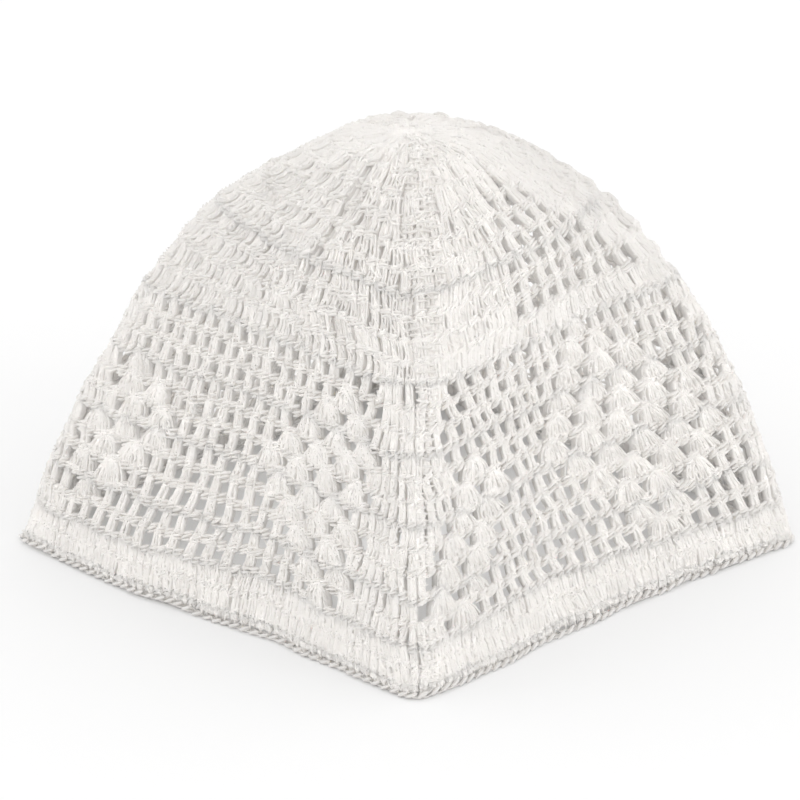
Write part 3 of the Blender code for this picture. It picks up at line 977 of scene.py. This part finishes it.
def cotton(name):
    """Twisted cotton: ply lines wind round each strand, and strands differ a little in tone."""
    material = bpy.data.materials.new(name)
    material.use_nodes = True
    nodes = material.node_tree.nodes
    links = material.node_tree.links
    shader = nodes["Principled BSDF"]
    shader.inputs["Roughness"].default_value = 0.85
    shader.inputs["Specular IOR Level"].default_value = 0.25
    shader.inputs["Sheen Weight"].default_value = 0.15
    shader.subsurface_method = "BURLEY"
    shader.inputs["Subsurface Weight"].default_value = 0.75
    shader.inputs["Subsurface Radius"].default_value = (1.0, 0.95, 0.9)
    shader.inputs["Subsurface Scale"].default_value = 0.0014
    shader.inputs["Sheen Roughness"].default_value = 0.5

    def math_node(operation, first, second):
        node = nodes.new("ShaderNodeMath")
        node.operation = operation
        for socket, value in zip(node.inputs, (first, second)):
            if isinstance(value, (int, float)):
                socket.default_value = value
            elif value is not None:
                links.new(value, socket)
        return node.outputs[0]

    ply = nodes.new("ShaderNodeAttribute")
    ply.attribute_name = "ply"
    split = nodes.new("ShaderNodeSeparateXYZ")
    links.new(ply.outputs["Vector"], split.inputs[0])
    turn = math_node("MULTIPLY", split.outputs["Z"], 2 * math.pi / PLY_LENGTH)
    cosine = math_node("COSINE", turn, None)
    sine = math_node("SINE", turn, None)
    wave = math_node("ADD", math_node("MULTIPLY", split.outputs["Y"], cosine),
                     math_node("MULTIPLY", split.outputs["X"], sine))
    cube = math_node("MULTIPLY", wave, math_node("MULTIPLY", wave, wave))
    threefold = math_node("MULTIPLY", wave, 3.0)
    fourfold = math_node("MULTIPLY", cube, 4.0)
    triple = math_node("SUBTRACT", threefold, fourfold)
    coordinates = nodes.new("ShaderNodeTexCoord")
    noise = nodes.new("ShaderNodeTexNoise")
    noise.inputs["Scale"].default_value = 2600.0
    noise.inputs["Detail"].default_value = 2.0
    links.new(coordinates.outputs["Object"], noise.inputs["Vector"])
    plies = math_node("MULTIPLY", triple, PLY_RELIEF)
    fuzz = math_node("MULTIPLY", noise.outputs[0], FUZZ_RELIEF)
    height = math_node("ADD", plies, fuzz)
    bump = nodes.new("ShaderNodeBump")
    bump.inputs["Strength"].default_value = 0.55
    bump.inputs["Distance"].default_value = 0.00012
    links.new(height, bump.inputs["Height"])
    links.new(bump.outputs["Normal"], shader.inputs["Normal"])
    tone = nodes.new("ShaderNodeAttribute")
    tone.attribute_name = "tone"
    ramp = nodes.new("ShaderNodeMixRGB")
    ramp.inputs["Color1"].default_value = (0.661, 0.639, 0.613, 1.0)
    ramp.inputs["Color2"].default_value = (0.711, 0.691, 0.668, 1.0)
    links.new(tone.outputs["Fac"], ramp.inputs["Fac"])
    links.new(ramp.outputs["Color"], shader.inputs["Base Color"])
    return material


# The ring that the first round is worked into.
START_RING_STEPS = 13
START_RING_RADIUS = 0.9
START_RING_STRAND = 0.62
START_RING_DEPTH = 0.75


def start_ring(mesh):
    """One closed strand below the apex."""
    turn = np.linspace(0.0, 2 * math.pi, START_RING_STEPS)
    apex = cloth.points[0, 0]
    circle = np.stack([np.cos(turn), np.sin(turn), np.zeros(START_RING_STEPS)], axis=-1)
    centres = apex + circle * START_RING_RADIUS - np.array([0.0, 0.0, START_RING_DEPTH])
    normals = np.tile(np.array([0.0, 0.0, 1.0]), (START_RING_STEPS, 1))
    radii = np.full((1, START_RING_STEPS), START_RING_STRAND)
    mesh.add(centres[None], normals[None], radii)


def finish_piece(mesh, name, node, material):
    """Builds a mesh, puts its piece under the root, and hides the model's part that it stands in
    for.
    """
    piece = mesh.build(name, material)
    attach(piece, "root")
    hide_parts(node)


def dress(name, rounds, node, material):
    """One piece of the cap, made of its rounds."""
    mesh = YarnMesh()
    if rounds[0].top_share == 0.0:
        start_ring(mesh)
    for work in rounds:
        yarn_round(mesh, work)
    finish_piece(mesh, name, node, material)


# Columns: name, first round, round after the last.
CROWN_PIECES = (
    ("crown_top", 1, 9),
    ("crown_foot", 9, 13),
)
NET_PIECES = (
    ("net_high", 0, 3),
    ("net_middle", 3, 6),
    ("net_low", 6, 9),
    ("net_foot", 9, 11),
)


def make_cap():
    """The eight pieces, from the top down to the edge."""
    material = cotton("white_cotton")
    for name, first, after in CROWN_PIECES:
        rounds = [crown_round(number) for number in range(first, after)]
        dress(name, rounds, "crown", material)
    for name, first, after in NET_PIECES:
        rounds = [net_round(number) for number in range(first, after)]
        dress(name, rounds, "openwork_band", material)
    rounds = [rim_round(number) for number in range(RIM_ROUNDS)]
    dress("rim_rounds", rounds, "rim_band", material)
    edge = YarnMesh()
    rim_edge(edge)
    finish_piece(edge, "rim_cord", "rim_edge", material)


FLOOR_SIDE = 8.0


def make_floor():
    bpy.ops.mesh.primitive_plane_add(size=FLOOR_SIDE, location=(0.0, 0.0, 0.0))
    floor = bpy.context.object
    floor.name = "floor"
    material = bpy.data.materials.new("pale_floor")
    material.use_nodes = True
    shader = material.node_tree.nodes["Principled BSDF"]
    shader.inputs["Base Color"].default_value = (0.99, 0.99, 0.99, 1.0)
    shader.inputs["Roughness"].default_value = 0.9
    shader.inputs["Specular IOR Level"].default_value = 0.1
    floor.data.materials.append(material)


# The lamps over the cap. Columns: name, place, size, power.
LAMPS = (
    ("key", (1.5, -0.9, 1.1), 0.8, 2.4),
    ("fill", (-0.3, -1.8, 1.2), 1.0, 1.0),
)
LAMP_AIM = (0.0, 0.0, 0.05)

# The lamp inside the cap, for the light that comes through the cotton.
INSIDE_PLACE = (0.0, 0.0, 0.045)
INSIDE_SIZE = 0.03
INSIDE_POWER = 0.035


def area_light(name, place, size, power):
    light = bpy.data.lights.new(name, "AREA")
    light.shape = "SQUARE"
    light.size = size
    light.energy = power
    lamp = bpy.data.objects.new(name, light)
    lamp.location = place
    direction = Vector(LAMP_AIM) - Vector(place)
    lamp.rotation_euler = direction.to_track_quat("-Z", "Y").to_euler()
    bpy.context.scene.collection.objects.link(lamp)


def make_light():
    world = bpy.data.worlds.new("studio")
    bpy.context.scene.world = world
    world.use_nodes = True
    background = world.node_tree.nodes["Background"]
    background.inputs["Color"].default_value = (1.0, 1.0, 1.0, 1.0)
    background.inputs["Strength"].default_value = 1.0
    for name, place, size, power in LAMPS:
        area_light(name, place, size, power)
    inside = bpy.data.lights.new("light_through_cotton", "POINT")
    inside.energy = INSIDE_POWER
    inside.shadow_soft_size = INSIDE_SIZE
    lamp = bpy.data.objects.new("light_through_cotton", inside)
    lamp.location = INSIDE_PLACE
    lamp.visible_camera = False
    bpy.context.scene.collection.objects.link(lamp)
    bpy.context.scene.view_settings.view_transform = "Standard"
    bpy.context.scene.view_settings.gamma = 1.4


# The photograph's viewpoint, fitted to the cap's outline and rows.
VIEW_RISE = math.radians(20.7)
VIEW_TURN = math.radians(1.44)
VIEW_ROLL = math.radians(0.44)
VIEW_DISTANCE = 1408.0
PIXELS_PER_UNIT = 4.52
AIM_HEIGHT = 50.0
AIM_PIXEL = (410.2, 324.2)
IMAGE_SIDE = 800.0


def make_camera():
    focal = PIXELS_PER_UNIT * VIEW_DISTANCE
    level = math.cos(VIEW_RISE)
    toward = Vector((
        -math.sin(VIEW_TURN) * level,
        -math.cos(VIEW_TURN) * level,
        math.sin(VIEW_RISE),
    ))
    aim = Vector((CENTRING, 0.0, AIM_HEIGHT))
    place = aim + toward * VIEW_DISTANCE
    right = Vector((0.0, 0.0, 1.0)).cross(toward).normalized()
    up = toward.cross(right)
    across = (AIM_PIXEL[0] - IMAGE_SIDE / 2) * VIEW_DISTANCE / focal
    above = (IMAGE_SIDE / 2 - AIM_PIXEL[1]) * VIEW_DISTANCE / focal
    centre = aim - right * across - up * above
    back = (place - centre).normalized()
    right = Vector((0.0, 0.0, 1.0)).cross(back).normalized()
    up = back.cross(right)
    turn = Matrix((right, up, back)).transposed().to_4x4()
    data = bpy.data.cameras.new("camera")
    data.sensor_width = 36.0
    data.lens = focal * data.sensor_width / IMAGE_SIDE
    data.clip_end = 20.0
    camera = bpy.data.objects.new("camera", data)
    roll = Matrix.Rotation(-VIEW_ROLL, 4, "Z")
    camera.matrix_world = Matrix.Translation(place * MM) @ turn @ roll
    bpy.context.scene.collection.objects.link(camera)
    bpy.context.scene.camera = camera


make_camera()
make_cap()
make_floor()
make_light()
